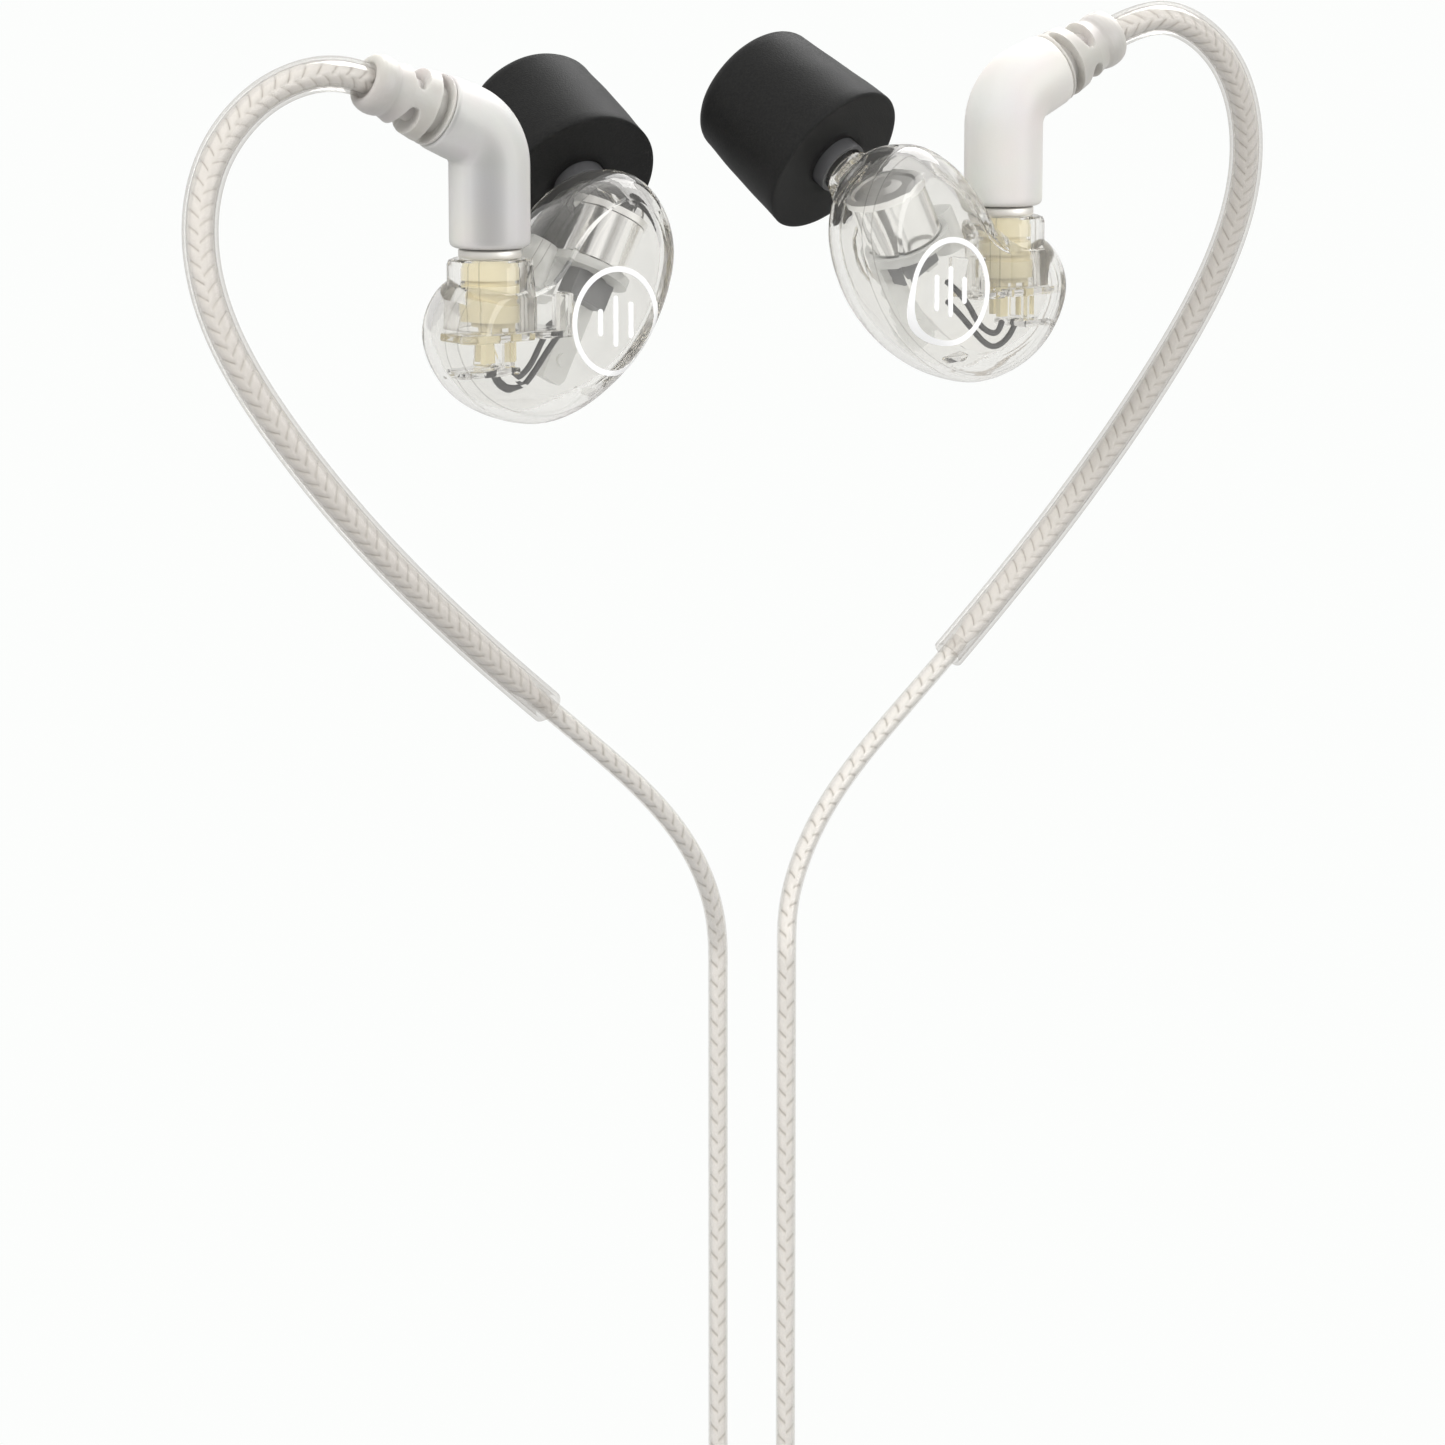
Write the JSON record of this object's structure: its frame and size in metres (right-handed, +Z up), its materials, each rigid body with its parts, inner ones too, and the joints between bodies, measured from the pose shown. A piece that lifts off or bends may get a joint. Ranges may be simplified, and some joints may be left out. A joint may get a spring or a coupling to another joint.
{
  "type": "in ear monitors",
  "caption": "Pair of clear over-ear monitors with foam tips, detachable elbow plugs, ear hooks and a braided cable ending in a stereo plug.",
  "frame": {"origin": "on the axis of the 3.5 mm plug, at the shoulder its socket stops on", "axes": "+Z up along the cable towards the earpieces; -Y is the side both faceplates are seen from; left and right are named as seen from -Y"},
  "size_m": [0.0808, 0.0527, 0.2099],
  "materials": {
    "braid": "pale braided strands",
    "chassis_plastic": "frosted",
    "clear_shell": "clear moulded plastic, polished",
    "clear_tubing": "clear flexible tubing",
    "core_grey": "soft tube, satin",
    "dark_metal": "dark satin",
    "diaphragm_film": "thin film in a metal rim",
    "driver_metal": "bright satin",
    "filter_mesh": "etched screen",
    "foam_black": "fine open-cell foam, matt",
    "frosted_plastic": "translucent, frosted",
    "gold_contact": "gold plate",
    "insulator_cream": "cream moulding",
    "plug_nickel": "nickel plate",
    "socket_metal": "pale gold plate",
    "white_ink": "printed white",
    "wire_black": "black insulation"
  },
  "bodies": {
    "cable": {"left_lower_core": "braid", "left_lower_jacket": "clear_tubing", "right_lower_core": "braid", "right_lower_jacket": "clear_tubing", "y_split": "frosted_plastic", "split_relief": "frosted_plastic", "main_core": "braid", "main_jacket": "clear_tubing", "jack_relief": "frosted_plastic", "jack_handle": "frosted_plastic", "jack_sleeve": "gold_contact", "jack_insulators": "wire_black", "jack_ring": "gold_contact", "jack_tip": "gold_contact"},
    "slider": {"cinch_slider": "frosted_plastic"},
    "left_lead": {"left_elbow": "frosted_plastic", "left_strain_relief": "frosted_plastic", "left_plug_collar": "plug_nickel", "left_plug_pin": "gold_contact", "left_lead_core": "braid", "left_lead_jacket": "clear_tubing", "left_ear_hook": "clear_tubing"},
    "left_contact_ring": {"left_snap_ring": "gold_contact"},
    "left_earpiece": {"left_shell_inner": "clear_shell", "left_shell_outer": "clear_shell", "left_face_emblem": "white_ink", "left_driver_can": "driver_metal", "left_driver_diaphragm": "diaphragm_film", "left_ba_driver": "dark_metal", "left_driver_chassis": "chassis_plastic", "left_mmcx_socket": "socket_metal", "left_socket_insulator": "insulator_cream", "left_socket_terminals": "socket_metal", "left_lead_wires": "wire_black", "left_wax_filter": "filter_mesh"},
    "left_ear_tip": {"left_ear_tip_foam": "foam_black", "left_ear_tip_core": "core_grey"},
    "right_lead": {"right_elbow": "frosted_plastic", "right_strain_relief": "frosted_plastic", "right_plug_collar": "plug_nickel", "right_plug_pin": "gold_contact", "right_lead_core": "braid", "right_lead_jacket": "clear_tubing", "right_ear_hook": "clear_tubing"},
    "right_contact_ring": {"right_snap_ring": "gold_contact"},
    "right_earpiece": {"right_shell_inner": "clear_shell", "right_shell_outer": "clear_shell", "right_face_emblem": "white_ink", "right_driver_can": "driver_metal", "right_driver_diaphragm": "diaphragm_film", "right_ba_driver": "dark_metal", "right_driver_chassis": "chassis_plastic", "right_mmcx_socket": "socket_metal", "right_socket_insulator": "insulator_cream", "right_socket_terminals": "socket_metal", "right_lead_wires": "wire_black", "right_wax_filter": "filter_mesh"},
    "right_ear_tip": {"right_ear_tip_foam": "foam_black", "right_ear_tip_core": "core_grey"}
  },
  "joints": [
    {"name": "left_splay", "type": "hinge", "parent": "cable", "child": "left_lead", "pos_m": [-0.00264, 0, 0.12341], "axis": [0, -1, 0], "range_deg": [0, 20]},
    {"name": "left_swivel", "type": "hinge", "parent": "left_lead", "child": "left_contact_ring", "pos_m": [-0.0194, -0.008, 0.17824], "axis": [0, 0, 1], "range_deg": [-15, 100]},
    {"name": "left_unplug", "type": "slide", "parent": "left_contact_ring", "child": "left_earpiece", "axis": [0, 0, -1], "range_m": [0, 0.008]},
    {"name": "left_tip_pull", "type": "slide", "parent": "left_earpiece", "child": "left_ear_tip", "axis": [-0.4241, 0.7201, 0.5492], "range_m": [0, 0.008]},
    {"name": "right_splay", "type": "hinge", "parent": "cable", "child": "right_lead", "pos_m": [0.00264, 0, 0.12341], "axis": [0, 1, 0], "range_deg": [0, 20]},
    {"name": "right_swivel", "type": "hinge", "parent": "right_lead", "child": "right_contact_ring", "pos_m": [0.01916, 0.008, 0.18001], "axis": [0, 0, 1], "range_deg": [-120, 150]},
    {"name": "right_unplug", "type": "slide", "parent": "right_contact_ring", "child": "right_earpiece", "axis": [0, 0, -1], "range_m": [0, 0.008]},
    {"name": "right_tip_pull", "type": "slide", "parent": "right_earpiece", "child": "right_ear_tip", "axis": [-0.6541, 0.5202, 0.5492], "range_m": [0, 0.008]},
    {"name": "slider_slide", "type": "slide", "parent": "cable", "child": "slider", "axis": [0, 0, 1], "range_m": [-0.003, 0.03]}
  ]
}
